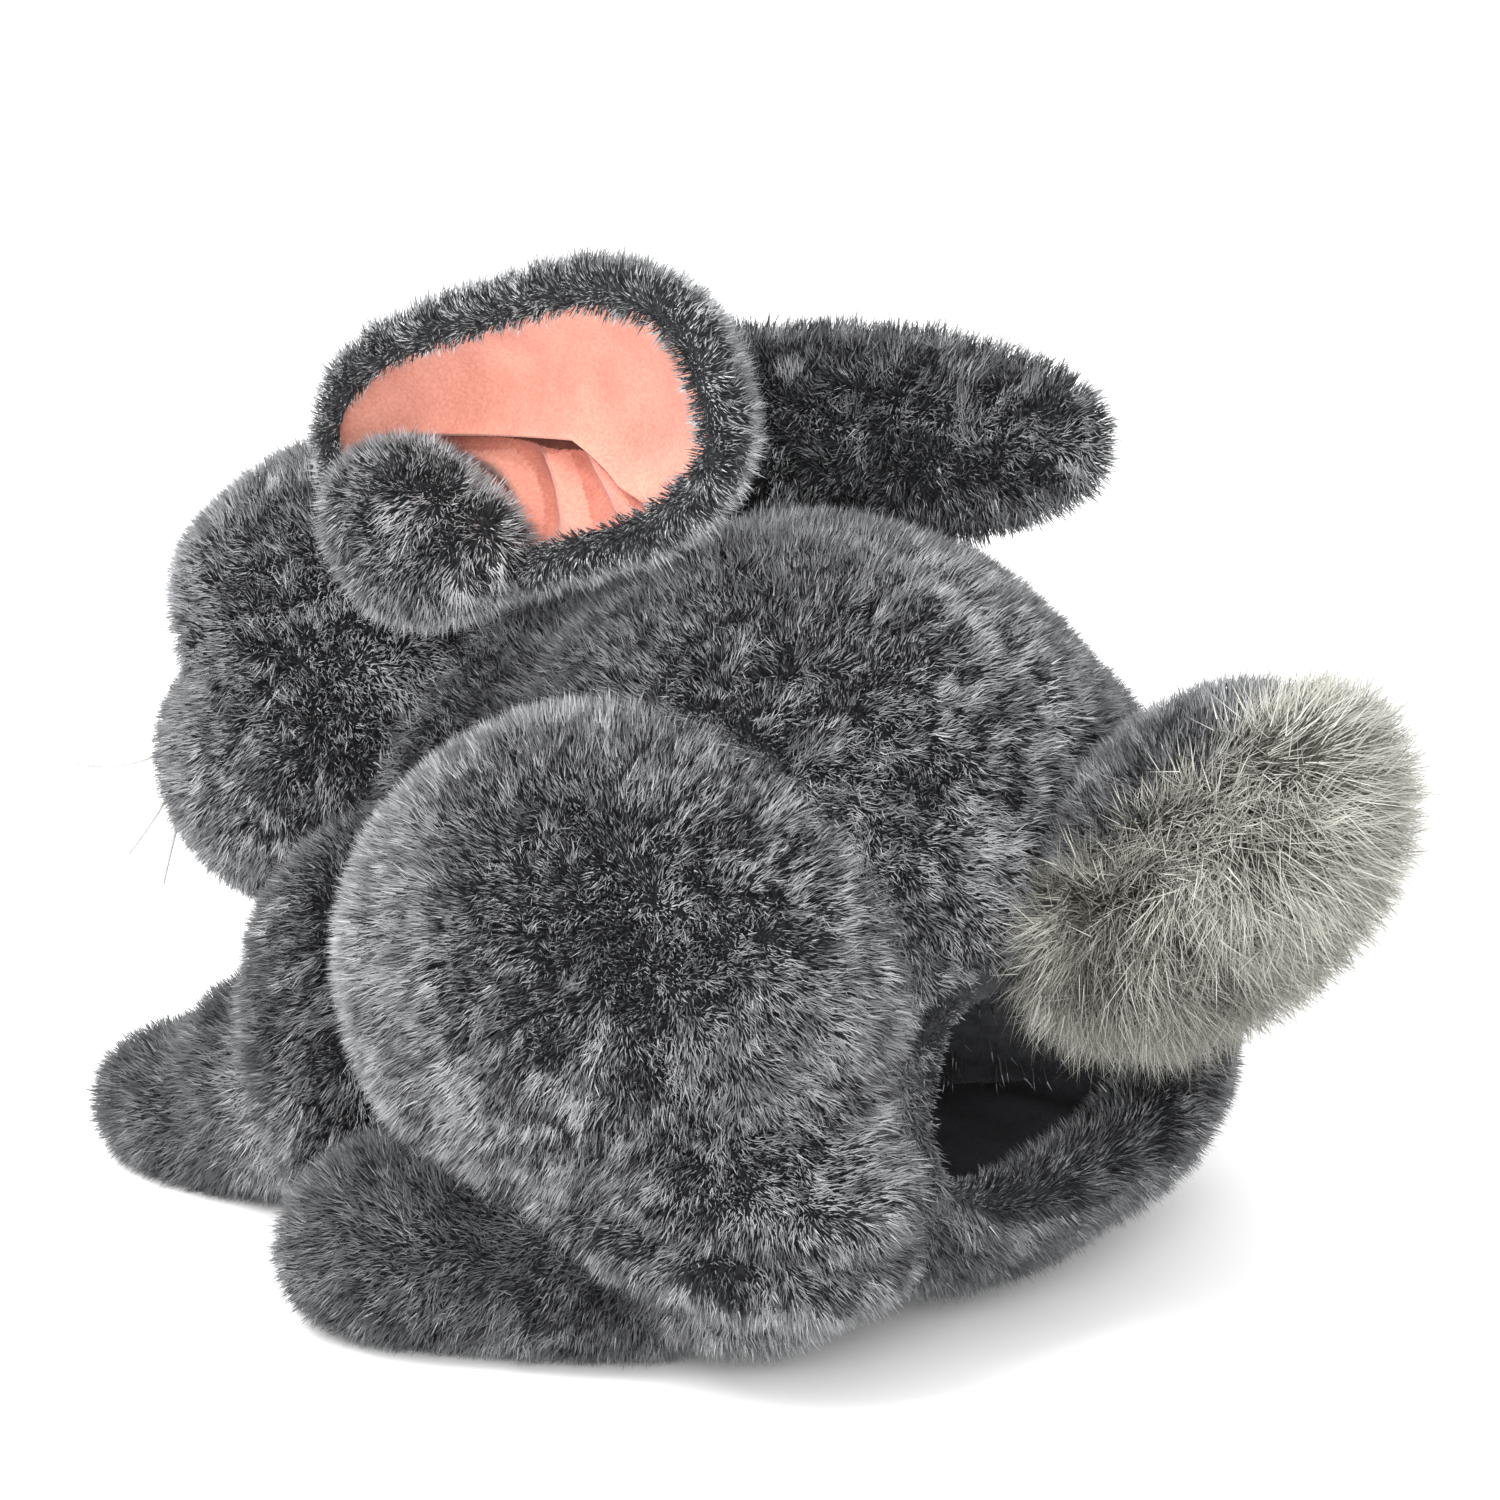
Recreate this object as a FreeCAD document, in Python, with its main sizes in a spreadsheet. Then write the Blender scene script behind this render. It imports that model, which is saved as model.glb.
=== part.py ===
import FreeCAD, Part
import Sketcher
import math
import os

from FreeCAD import Placement, Rotation, Vector

# A plush rabbit hand puppet, crouching. Millimetres. The rabbit faces -Y, +X is its left
# side and +Z is up. The origin is on the floor, under the middle of the whole toy.
# Every solid here is the woven backing of the fur, or something under it. The pile
# stands 8 to 12 mm beyond the backing and lies outside these solids, except on the
# underside of the tail, whose long pile is part of the tail's own solid.

SIZES = {
    "overrun": 8,  # how far a bar that cuts runs past what it cuts
    # torso: a large egg with a lower, wider chest in front of it
    "torso_y": 26, "torso_z": 85, "torso_half_x": 70, "torso_half_y": 72, "torso_half_z": 75,
    "chest_y": -50, "chest_z": 43, "chest_half_x": 60, "chest_half_y": 42, "chest_half_z": 46,
    "fur_thick": 3.0, "belly_height": 26, "tongue_half_x": 30, "tongue_y": -83,
    # thighs: rounded pads sewn on each side of the torso
    "thigh_x": 58, "thigh_y": 24, "thigh_z": 84,
    "thigh_half_x": 38, "thigh_half_y": 66, "thigh_half_z": 50, "thigh_root": 44,
    # hind feet
    "foot_x": 80, "foot_y": 4, "foot_z": 18, "foot_half_x": 22, "foot_half_y": 58, "foot_half_z": 22,
    "ankle_y": 42, "ankle_reach": 26,
    # hand opening and the lining behind it
    "mouth_y": 100, "mouth_z": 51, "mouth_half_x": 46, "mouth_half_z": 25, "hem_radius": 4,
    "mouth_recess": 18,
    "lining_front_y": -50, "lining_thick": 1.2, "lining_mouth_y": 94,
    "paw_hole_x": 30, "paw_hole_z": 42,
    # neck and head
    "neck_y": -62, "neck_z": 106,
    "head_y": -89, "head_z": 111, "head_half_x": 46, "head_half_y": 45, "head_half_z": 50,
    "muzzle_y": -115, "muzzle_z": 94, "muzzle_half_x": 32, "muzzle_half_y": 27, "muzzle_half_z": 25,
    "pocket_radius": 13, "pocket_length": 56, "pocket_z": 104,
    "room_y": -68, "room_half_x": 66, "room_half_y": 50, "room_half_z": 66,
    "sleeve_radius": 38, "sleeve_thick": 2, "sleeve_width": 18, "sleeve_drop": 37,
    # face
    "eye_radius": 7, "eye_dome": 5, "shank_radius": 2, "shank_length": 11, "shank_grip": 1,
    "washer_radius": 7.5, "washer_thick": 1.6, "washer_depth": 5, "eye_yaw": 31, "eye_pitch": 10,
    "nose_half_x": 6.5, "nose_half_y": 3, "nose_half_z": 4, "nose_sunk": 1.2, "nose_rise": 7,
    "thread_radius": 0.6, "mouth_drop": 9, "mouth_rise": 2, "whisker_radius": 0.35,
    # ears
    "ear_skin": 3.0, "ear_velour": 1.2,
    "ear_root": 15.6, "ear_root_x": 30, "ear_root_y": -75, "ear_root_z": 151,
    "left_ear_half_length": 66, "left_ear_half_width": 31, "left_ear_half_depth": 20,
    "right_ear_half_length": 71, "right_ear_half_width": 22, "right_ear_half_depth": 16,
    # forelegs
    "arm_x": 36, "arm_y": -78, "arm_z": 31, "arm_radius": 23, "arm_gap": 1.0,
    "paw_reach": 35, "paw_half_x": 19, "paw_half_y": 31, "paw_half_z": 20, "paw_z": 17,
    "arm_pocket_radius": 10, "arm_pocket_length": 58, "arm_pocket_drop": 17,
    "arm_pocket_back": 3, "arm_pocket_rise": 6,
    # tail
    "tail_y": 97, "tail_z": 93, "tail_root": 17, "tail_half_width": 27, "tail_sunk": 10,
    "tail_half_length": 40, "tail_fringe": 6, "tail_top_thick": 13, "tail_under_thick": 26,
    "hem_room_y": 110, "hem_room_z": 86,
}

FAR = 400  # longer than the toy, for the blocks that halve a solid

doc = FreeCAD.newDocument("rabbit_hand_puppet")
sheet = doc.addObject("Spreadsheet::Sheet", "Sizes")
for row, (alias, value) in enumerate(SIZES.items(), start=1):
    sheet.set(f"A{row}", alias)
    sheet.set(f"B{row}", str(value))
    sheet.setAlias(f"B{row}", alias)
doc.recompute()

nodes = []


def size(alias):
    """A driving dimension, as a number."""
    return float(sheet.get(alias))


def node(shape_object, label):
    """Marks an object as one sub-part and gives it the name of its file."""
    shape_object.Label = label
    nodes.append(shape_object)
    return shape_object


def bind(target, **expressions):
    """Binds properties to cells. A double underscore stands for the dot in a path."""
    for path, expression in expressions.items():
        target.setExpression(path.replace("__", "."), expression)
    return target


def ellipsoid(name, half, at=("0", "0", "0"), turn=None):
    """An ellipsoid with half sizes along its own X, Y and Z, each an expression.

    It is made of four quarters, each a quarter turn about its own Z, so that every face
    of it ends at plain edges.
    """
    quarters = []
    for k in range(4):
        quarter = doc.addObject("Part::Ellipsoid", f"{name}_quarter{k}")
        spin = Placement(Vector(), Rotation(Vector(0, 0, 1), 90 * k))
        quarter.Placement = spin if turn is None else turn.multiply(spin)
        if turn is None:
            bind(quarter, Placement__Base__x=at[0], Placement__Base__y=at[1],
                 Placement__Base__z=at[2])
        quarter.Angle3 = 90
        first, second = (half[0], half[1]) if k % 2 == 0 else (half[1], half[0])
        quarters.append(bind(quarter, Radius2=first, Radius3=second, Radius1=half[2]))
    return fuse(name, *quarters)


def block(name, low, high, turn=None):
    """A box between two corners, in millimetres."""
    box = doc.addObject("Part::Box", name)
    box.Length, box.Width, box.Height = (high[i] - low[i] for i in range(3))
    box.Placement = Placement(Vector(*low), Rotation())
    if turn is not None:
        box.Placement = turn.multiply(box.Placement)
    return box


def cut(name, base, *tools):
    """The base with each tool taken away in turn."""
    for i, tool in enumerate(tools):
        step = doc.addObject("Part::Cut", name if i == len(tools) - 1 else f"{name}_step{i}")
        step.Base, step.Tool = base, tool
        base = step
    return base


def common(name, base, tool):
    both = doc.addObject("Part::Common", name)
    both.Base, both.Tool = base, tool
    return both


def fuse(name, *shapes):
    union = doc.addObject("Part::MultiFuse", name)
    union.Shapes = list(shapes)
    return union


def at(prefix, sign=""):
    """The three place expressions of a piece: X is mirrored by the sign."""
    x = f"{sign}Sizes.{prefix}_x" if f"{prefix}_x" in SIZES else "0"
    return x, f"Sizes.{prefix}_y", f"Sizes.{prefix}_z"


def half(prefix, less="0"):
    """The three half-size expressions of a piece, each made smaller by the same amount."""
    return tuple(f"Sizes.{prefix}_half_{axis} - {less}" for axis in "xyz")


def pad(name, prefix, less="0", sign=""):
    return ellipsoid(name, half(prefix, less), at(prefix, sign))


def ball(name, radius, place):
    """A sphere whose radius and centre are expressions."""
    sphere = doc.addObject("Part::Sphere", name)
    x, y, z = place
    return bind(sphere, Radius=radius, Placement__Base__x=x, Placement__Base__y=y,
                Placement__Base__z=z)


def tube_y(name, radius, length, place):
    """A round bar along +Y from a place. All are expressions."""
    bar = doc.addObject("Part::Cylinder", name)
    bar.Placement = Placement(Vector(), Rotation(Vector(1, 0, 0), -90))
    x, y, z = place
    return bind(bar, Radius=radius, Height=length, Placement__Base__x=x,
                Placement__Base__y=y, Placement__Base__z=z)


def oval_bar(name, less, front, length):
    """A bar of oval section along Y: the hand opening, carried forward through the torso."""
    oval = doc.addObject("Part::Ellipse", f"{name}_section")
    oval.Placement = Placement(Vector(), Rotation(Vector(1, 0, 0), 90))
    bind(oval, MajorRadius=f"Sizes.mouth_half_x - {less}", MinorRadius=f"Sizes.mouth_half_z - {less}",
         Placement__Base__y=front, Placement__Base__z="Sizes.mouth_z")
    bar = doc.addObject("Part::Extrusion", name)
    bar.Base, bar.DirMode, bar.Dir, bar.Solid = oval, "Custom", Vector(0, 1, 0), True
    return bind(bar, LengthFwd=length)


SIDES = (("left", "", 1), ("right", "-", -1))
under_floor = block("under_floor", (-FAR, -FAR, -FAR), (FAR, FAR, 0))


# Room for what moves against the torso and the head -------------------------------------

head_room = ellipsoid(
    "head_room", ("Sizes.room_half_x", "Sizes.room_half_y", "Sizes.room_half_z"),
    ("0", "Sizes.room_y", "Sizes.neck_z"))
foot_room, ankle_room, arm_room, ear_room = {}, {}, {}, {}
for side, sign, _ in SIDES:
    foot_room[side] = pad(f"foot_room_{side}", "foot", "-Sizes.arm_gap", sign)
    ankle_room[side] = ball(f"ankle_room_{side}", "Sizes.ankle_reach",
                            (f"{sign}Sizes.foot_x", "Sizes.ankle_y", "Sizes.foot_z"))
    arm_room[side] = ball(f"arm_room_{side}", "Sizes.arm_radius + Sizes.arm_gap",
                          at("arm", sign))
    ear_room[side] = ball(f"ear_room_{side}", "Sizes.ear_root + Sizes.arm_gap",
                          at("ear_root", sign))
tail_room = ball("tail_room", "Sizes.tail_root + Sizes.arm_gap",
                 ("0", "Sizes.tail_y", "Sizes.tail_z"))
mouth_length = "Sizes.mouth_y - Sizes.lining_front_y + Sizes.overrun"
mouth_bar = oval_bar("mouth_bar", "-2 * Sizes.hem_radius", "Sizes.mouth_y - Sizes.mouth_recess",
                     "Sizes.mouth_recess + Sizes.overrun")
lining_bar = oval_bar("lining_bar", "0", "Sizes.lining_front_y", mouth_length)
torso_rooms = [head_room, tail_room, *foot_room.values(), *ankle_room.values(), *arm_room.values()]


# Torso: two fur sides with a seam down the back, and a belly panel with a tongue that
# runs up between the forelegs ---------------------------------------------------------

torso_outer = fuse("torso_outer", pad("torso_egg", "torso"), pad("chest_egg", "chest"))
torso_inner = fuse("torso_inner", pad("torso_egg_in", "torso", "Sizes.fur_thick"),
                   pad("chest_egg_in", "chest", "Sizes.fur_thick"))
torso_trimmed = cut("torso_trimmed", torso_outer, under_floor, *torso_rooms, mouth_bar)
torso_skin = cut("torso_skin", torso_trimmed, torso_inner, lining_bar)

belly = size("belly_height")
tongue = size("tongue_half_x")
chin_tongue = block("chin_tongue", (-tongue, -FAR, 0), (tongue, size("tongue_y"), FAR))
below_seam = fuse("below_seam", block("below_sides", (-FAR, -FAR, -FAR), (FAR, FAR, belly)),
                  chin_tongue)
above_left = cut("above_left", block("left_side", (0, -FAR, belly), (FAR, FAR, FAR)), chin_tongue)
above_right = cut("above_right", block("right_side", (-FAR, -FAR, belly), (0, FAR, FAR)),
                  chin_tongue)
node(common("back_left", torso_skin, above_left), "body_fur_left")
node(common("back_right", torso_skin, above_right), "body_fur_right")
node(common("belly", torso_skin, below_seam), "belly_panel")

above_floor_skin = block("floor_skin", (-FAR, -FAR, -FAR), (FAR, FAR, size("fur_thick")))
node(cut("filling", common("filling_whole", torso_trimmed, torso_inner), above_floor_skin,
         lining_bar), "body_stuffing")


# Hand lining: a flat black pouch, open behind and under the neck, with a hole to each
# foreleg ------------------------------------------------------------------------------

pouch_inside = oval_bar("pouch_inside", "Sizes.lining_thick",
                        "Sizes.lining_front_y + Sizes.lining_thick", mouth_length)
pouch_end = block("pouch_end", (-FAR, size("lining_mouth_y"), -FAR), (FAR, FAR, FAR))
paw_holes = [tube_y(f"paw_hole_{side}", "Sizes.arm_pocket_radius", "4 * Sizes.lining_thick",
                    (f"{sign}Sizes.paw_hole_x", "Sizes.lining_front_y - Sizes.lining_thick",
                     "Sizes.paw_hole_z"))
             for side, sign, _ in SIDES]
node(cut("pouch", lining_bar, pouch_inside, pouch_end, head_room, *paw_holes), "hand_lining")

hem_place = ("0", "Sizes.lining_mouth_y + Sizes.hem_radius", "Sizes.mouth_z")
hem_path = doc.addObject("Part::Ellipse", "hem_path")
hem_path.Placement = Placement(Vector(), Rotation(Vector(1, 0, 0), 90))
bind(hem_path, MajorRadius="Sizes.mouth_half_x + Sizes.hem_radius",
     MinorRadius="Sizes.mouth_half_z + Sizes.hem_radius",
     Placement__Base__y=hem_place[1], Placement__Base__z=hem_place[2])
hem_section = doc.addObject("Part::Circle", "hem_section")
bind(hem_section, Radius="Sizes.hem_radius",
     Placement__Base__x="Sizes.mouth_half_x + Sizes.hem_radius",
     Placement__Base__y=hem_place[1], Placement__Base__z=hem_place[2])
hem = doc.addObject("Part::Sweep", "hem")
hem.Sections, hem.Spine, hem.Solid, hem.Frenet = [hem_section], (hem_path, ["Edge1"]), True, True
node(hem, "opening_hem")


# Thighs and hind feet -----------------------------------------------------------------

between_thighs = block("between_thighs", (-size("thigh_root"), -FAR, -FAR),
                       (size("thigh_root"), FAR, FAR))
for side, sign, _ in SIDES:
    rooms = (between_thighs, torso_outer, mouth_bar, lining_bar, head_room, foot_room[side],
             ankle_room[side])
    thigh = cut(f"thigh_{side}", pad(f"thigh_egg_{side}", "thigh", "0", sign), *rooms)
    thigh_in = pad(f"thigh_in_{side}", "thigh", "Sizes.fur_thick", sign)
    node(cut(f"thigh_skin_{side}", thigh, thigh_in), f"thigh_fur_{side}")
    node(common(f"thigh_filling_{side}", thigh, thigh_in), f"thigh_stuffing_{side}")

    foot = cut(f"foot_{side}", pad(f"foot_egg_{side}", "foot", "0", sign), under_floor)
    foot_in = pad(f"foot_in_{side}", "foot", "Sizes.fur_thick", sign)
    foot_in = cut(f"foot_core_{side}", foot_in, above_floor_skin)
    node(cut(f"foot_skin_{side}", foot, foot_in), f"hind_foot_fur_{side}")
    node(foot_in, f"hind_foot_stuffing_{side}")


# Neck: a dished fabric sleeve between the torso and the head, round the finger ----------

neck_place = ("0", "Sizes.neck_y", "Sizes.neck_z")
sleeve_ball = ball("sleeve_ball", "Sizes.sleeve_radius", neck_place)
sleeve_hollow = ball("sleeve_hollow", "Sizes.sleeve_radius - Sizes.sleeve_thick", neck_place)
sleeve_turn = Rotation(Vector(1, 0, 0), -90 - size("sleeve_drop"))


def sleeve_bar(name, radius):
    """A bar from the neck backwards and down, the way the finger comes in."""
    bar = doc.addObject("Part::Cylinder", name)
    bar.Placement = Placement(Vector(), sleeve_turn)
    return bind(bar, Radius=radius, Height="Sizes.sleeve_radius + Sizes.overrun",
                Placement__Base__y=neck_place[1], Placement__Base__z=neck_place[2])


dish = common("dish", cut("sleeve_shell", sleeve_ball, sleeve_hollow),
              sleeve_bar("sleeve_edge", "Sizes.sleeve_width"))
node(cut("sleeve", dish, sleeve_bar("sleeve_hole", "Sizes.pocket_radius")), "neck_sleeve")


# Head ---------------------------------------------------------------------------------

head_outer = fuse("head_outer", pad("head_egg", "head"), pad("muzzle_egg", "muzzle"))
head_inner = fuse("head_inner", pad("head_egg_in", "head", "Sizes.fur_thick"),
                  pad("muzzle_egg_in", "muzzle", "Sizes.fur_thick"))


def eye_place(sign_number):
    """Where an eye sits on the head, with its own +Z pointing out of the head."""
    yaw, pitch = (math.radians(size(angle)) for angle in ("eye_yaw", "eye_pitch"))
    out = Vector(sign_number * math.sin(yaw) * math.cos(pitch),
                 -math.cos(yaw) * math.cos(pitch), math.sin(pitch))
    halves = [size(f"head_half_{axis}") for axis in "xyz"]
    reach = 1 / math.sqrt(sum((out[i] / halves[i]) ** 2 for i in range(3)))
    centre = Vector(0, size("head_y"), size("head_z"))
    return Placement(centre + out * reach, Rotation(Vector(0, 0, 1), out))


def washer(side, place):
    """A lock washer pressed on an eye's shank, padded from two circles."""
    body = doc.addObject("PartDesign::Body", f"washer_{side}")
    sketch = body.newObject("Sketcher::SketchObject", f"washer_sketch_{side}")
    plane = next(p for p in body.Origin.OriginFeatures if p.Role == "XY_Plane")
    sketch.AttachmentSupport, sketch.MapMode = (plane, [""]), "FlatFace"
    for radius in ("Sizes.washer_radius", "Sizes.shank_radius"):
        index = sketch.addGeometry(Part.Circle(Vector(), Vector(0, 0, 1), 3), False)
        sketch.addConstraint(Sketcher.Constraint("Coincident", index, 3, -1, 1))
        radius_constraint = sketch.addConstraint(Sketcher.Constraint("Radius", index, 3))
        sketch.setExpression(f"Constraints[{radius_constraint}]", radius)
    disc = body.newObject("PartDesign::Pad", f"washer_pad_{side}")
    disc.Profile = sketch
    disc.setExpression("Length", "Sizes.washer_thick")
    body.Placement = place.multiply(
        Placement(Vector(0, 0, -size("washer_depth") - size("washer_thick")), Rotation()))
    return body


def disc(name, place, radius, low, length):
    """A round bar along an eye's axis, from a height under the skin."""
    bar = doc.addObject("Part::Cylinder", name)
    bar.Placement = place.multiply(Placement(Vector(0, 0, low), Rotation()))
    return bind(bar, Radius=radius, Height=length)


eye_rooms = []
for side, sign, sign_number in SIDES:
    place = eye_place(sign_number)
    dome = ellipsoid(f"eye_egg_{side}", ("Sizes.eye_radius", "Sizes.eye_radius", "Sizes.eye_dome"),
                     turn=place)
    shank = disc(f"shank_{side}", place, "Sizes.shank_radius", -size("shank_length"),
                 "Sizes.shank_length + Sizes.shank_grip")
    outside = cut(f"eye_dome_{side}", dome, head_outer)
    node(fuse(f"eye_{side}_piece", outside, shank), f"eye_{side}")
    node(washer(side, place), f"eye_washer_{side}")
    washer_low = -size("washer_depth") - size("washer_thick")
    eye_rooms += [shank, disc(f"washer_room_{side}", place, "Sizes.washer_radius", washer_low,
                              "Sizes.washer_thick")]

pocket_start = "Sizes.head_y + Sizes.head_half_y - Sizes.pocket_length"
pocket = tube_y("pocket", "Sizes.pocket_radius", "Sizes.pocket_length + Sizes.overrun",
                ("0", pocket_start, "Sizes.pocket_z"))
pocket_in = tube_y("pocket_in", "Sizes.pocket_radius - Sizes.lining_thick",
                   "Sizes.pocket_length + Sizes.overrun",
                   ("0", f"{pocket_start} + Sizes.lining_thick", "Sizes.pocket_z"))
head_left = block("head_left", (0, -FAR, -FAR), (FAR, FAR, FAR))
head_rooms = [pocket, *eye_rooms, *ear_room.values()]
head_skin = cut("head_skin", head_outer, head_inner, *head_rooms)
node(common("head_skin_left", head_skin, head_left), "head_fur_left")
node(cut("head_skin_right", head_skin, head_left), "head_fur_right")
node(cut("head_filling", head_inner, *head_rooms), "head_stuffing")
node(cut("head_tube", common("head_tube_whole", pocket, head_outer), pocket_in),
     "head_finger_pocket")

nose_front = "Sizes.muzzle_y - Sizes.muzzle_half_y + Sizes.nose_sunk"
nose_egg = ellipsoid("nose_egg", half("nose"), ("0", nose_front, "Sizes.muzzle_z + Sizes.nose_rise"))
node(cut("nose_piece", nose_egg, head_outer), "nose")
thread = size("thread_radius")
thread_strip = block("thread_strip", (-thread, -FAR, size("muzzle_z") - size("mouth_drop")),
                     (thread, size("muzzle_y"), size("muzzle_z") + size("mouth_rise")))
thread_skin = cut("thread_skin", pad("thread_egg", "muzzle", "-2 * Sizes.thread_radius"),
                  head_outer, nose_egg)
node(common("thread_piece", thread_skin, thread_strip), "mouth_stitch")


doc.recompute()


def whisker(root, tip, sag):
    """One bristle, bent in a shallow arc below the straight line from root to tip."""
    middle = (root + tip) * 0.5 - Vector(0, 0, sag)
    arc = Part.Arc(root, middle, tip)
    radius = size("whisker_radius")
    profile = Part.Wire(Part.Circle(root, arc.tangent(arc.FirstParameter)[0], radius).toShape())
    return Part.Wire(arc.toShape()).makePipeShell([profile], True, True)


WHISKERS = (  # root, tip and sag, on the left side of the muzzle
    (Vector(22, -133, 98), Vector(35, -162, 88), 5),
    (Vector(23, -132, 94), Vector(37, -141, 70), 1.5),
    (Vector(21, -133, 91), Vector(31, -136, 62), -1.5),
)
for side, _, sign_number in SIDES:
    mirror = Vector(sign_number, 1, 1)
    bristles = []
    for root, tip, sag in WHISKERS:
        ends = [Vector(p.x * mirror.x, p.y, p.z) for p in (root, tip)]
        bristles.append(whisker(*ends, sag).cut(head_outer.Shape))
    group = doc.addObject("Part::Feature", f"whisker_group_{side}")
    group.Shape = Part.makeCompound(bristles)
    node(group, f"whiskers_{side}")


# Ears: a fur back and a velour lining, sewn as one cupped leaf, folded at a round root ---

EARS = {  # the two ends of each ear's middle line, and the way its hollow faces
    "left": (Vector(30, -76, 163), Vector(50, 38, 218), Vector(1, 0, 0)),
    "right": (Vector(-30, -76, 166), Vector(-46, 66, 189), Vector(-1, 0, -0.3)),
}
CUP_EDGE = 3  # the rim of the cup stands this far past the middle of the leaf


def ear_place(side):
    """The middle of the leaf, with +Y along the ear and +X out of its hollow."""
    root, tip, facing = EARS[side]
    along = (tip - root).normalize()
    return Placement((root + tip) * 0.5, Rotation(Vector(), along, facing.cross(along), "YZX"))


head_gap = pad("head_gap", "head", "-Sizes.ear_skin")
for side, sign, _ in SIDES:
    place = ear_place(side)
    leaf = []
    for layer, less in enumerate(("0", "Sizes.ear_skin", "Sizes.ear_skin + Sizes.ear_velour")):
        leaf.append(ellipsoid(f"ear_{side}_{layer}",
                              (f"Sizes.{side}_ear_half_depth - ({less})",
                               f"Sizes.{side}_ear_half_length - ({less})",
                               f"Sizes.{side}_ear_half_width - ({less})"), turn=place))
    hollow_side = block(f"ear_front_{side}", (CUP_EDGE, -FAR, -FAR), (FAR, FAR, FAR), place)
    root = ellipsoid(f"ear_root_{side}", ("Sizes.ear_root",) * 3, at("ear_root", sign))
    fur_cup = cut(f"ear_fur_cup_{side}", leaf[0], hollow_side, head_gap, leaf[1])
    node(fuse(f"ear_fur_{side}_piece", fur_cup, root), f"ear_fur_{side}")
    node(cut(f"ear_lining_{side}_piece", leaf[1], hollow_side, head_gap, leaf[2], root),
         f"ear_lining_{side}")


# Forelegs: a stuffed paw on a round shoulder, with a finger pocket inside --------------

pocket_drop = math.radians(size("arm_pocket_drop"))
pocket_way = Vector(0, -math.cos(pocket_drop), -math.sin(pocket_drop))


def paw_tube(name, radius, length, place):
    """A round bar from the back of the shoulder down into the paw. All are expressions."""
    bar = doc.addObject("Part::Cylinder", name)
    bar.Placement = Placement(Vector(), Rotation(Vector(0, 0, 1), pocket_way))
    x, y, z = place
    return bind(bar, Radius=radius, Height=length, Placement__Base__x=x,
                Placement__Base__y=y, Placement__Base__z=z)


for side, sign, sign_number in SIDES:
    paw_place = (f"{sign}Sizes.arm_x", "Sizes.arm_y - Sizes.paw_reach", "Sizes.paw_z")
    arm_outer = fuse(f"arm_outer_{side}", ball(f"arm_ball_{side}", "Sizes.arm_radius", at("arm", sign)),
                     ellipsoid(f"paw_egg_{side}", half("paw"), paw_place))
    arm_inner = fuse(f"arm_inner_{side}",
                     ball(f"arm_ball_in_{side}", "Sizes.arm_radius - Sizes.fur_thick", at("arm", sign)),
                     ellipsoid(f"paw_egg_in_{side}", half("paw", "Sizes.fur_thick"), paw_place))
    pocket_mouth = (f"{sign}Sizes.arm_x", "Sizes.arm_y + Sizes.arm_radius + Sizes.arm_pocket_back",
                    "Sizes.arm_z + Sizes.arm_pocket_rise")
    arm_pocket = paw_tube(f"arm_pocket_{side}", "Sizes.arm_pocket_radius",
                          "Sizes.arm_pocket_length", pocket_mouth)
    arm_hollow = paw_tube(f"arm_hollow_{side}", "Sizes.arm_pocket_radius - Sizes.lining_thick",
                          "Sizes.arm_pocket_length - Sizes.lining_thick", pocket_mouth)
    arm_core = cut(f"arm_core_{side}", arm_inner, above_floor_skin)
    node(cut(f"arm_skin_{side}", arm_outer, under_floor, arm_core, arm_pocket),
         f"foreleg_fur_{side}")
    node(cut(f"arm_filling_{side}", arm_core, arm_pocket), f"foreleg_stuffing_{side}")
    arm_tube = common(f"arm_tube_{side}", arm_pocket, arm_outer)
    node(cut(f"arm_tube_open_{side}", arm_tube, arm_hollow), f"foreleg_pocket_{side}")


# Tail: short fur above, long pile below, a flat filling between ------------------------

TAIL_RISE = 36  # degrees that the tail points above level
TAIL_ROLL = 32  # degrees that its underside is turned towards the left side
tail_turn = Rotation(Vector(1, 0, 0), TAIL_RISE).multiply(Rotation(Vector(0, 1, 0), TAIL_ROLL))
tail_root = Vector(0, size("tail_y"), size("tail_z"))
tail_reach = size("tail_half_length") - size("tail_sunk")
tail_middle = tail_root + tail_turn.multVec(Vector(0, tail_reach, 0))
tail_place = Placement(tail_middle, tail_turn)
tail_above = block("tail_above", (-FAR, -FAR, 0), (FAR, FAR, FAR), tail_place)
tail_over = ellipsoid("tail_over", ("Sizes.tail_half_width", "Sizes.tail_half_length",
                                    "Sizes.tail_top_thick"), turn=tail_place)
tail_core = ellipsoid("tail_core", ("Sizes.tail_half_width - Sizes.fur_thick",
                                    "Sizes.tail_half_length - Sizes.fur_thick",
                                    "Sizes.tail_top_thick - Sizes.fur_thick"), turn=tail_place)
tail_under = ellipsoid("tail_under", ("Sizes.tail_half_width + Sizes.tail_fringe",
                                      "Sizes.tail_half_length + Sizes.tail_fringe",
                                      "Sizes.tail_under_thick"), turn=tail_place)


def torso_as_seen_from_tail(name, lift):
    """The torso's egg with its gap, as it stands to the tail when the tail is lifted."""
    swing = Rotation(Vector(1, 0, 0), -lift)
    egg_middle = Vector(*(size(f"torso_{axis}") if axis != "x" else 0 for axis in "xyz"))
    place = Placement(tail_root + swing.multVec(egg_middle - tail_root), swing)
    return ellipsoid(name, half("torso", "-Sizes.arm_gap"), turn=place)


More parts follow.
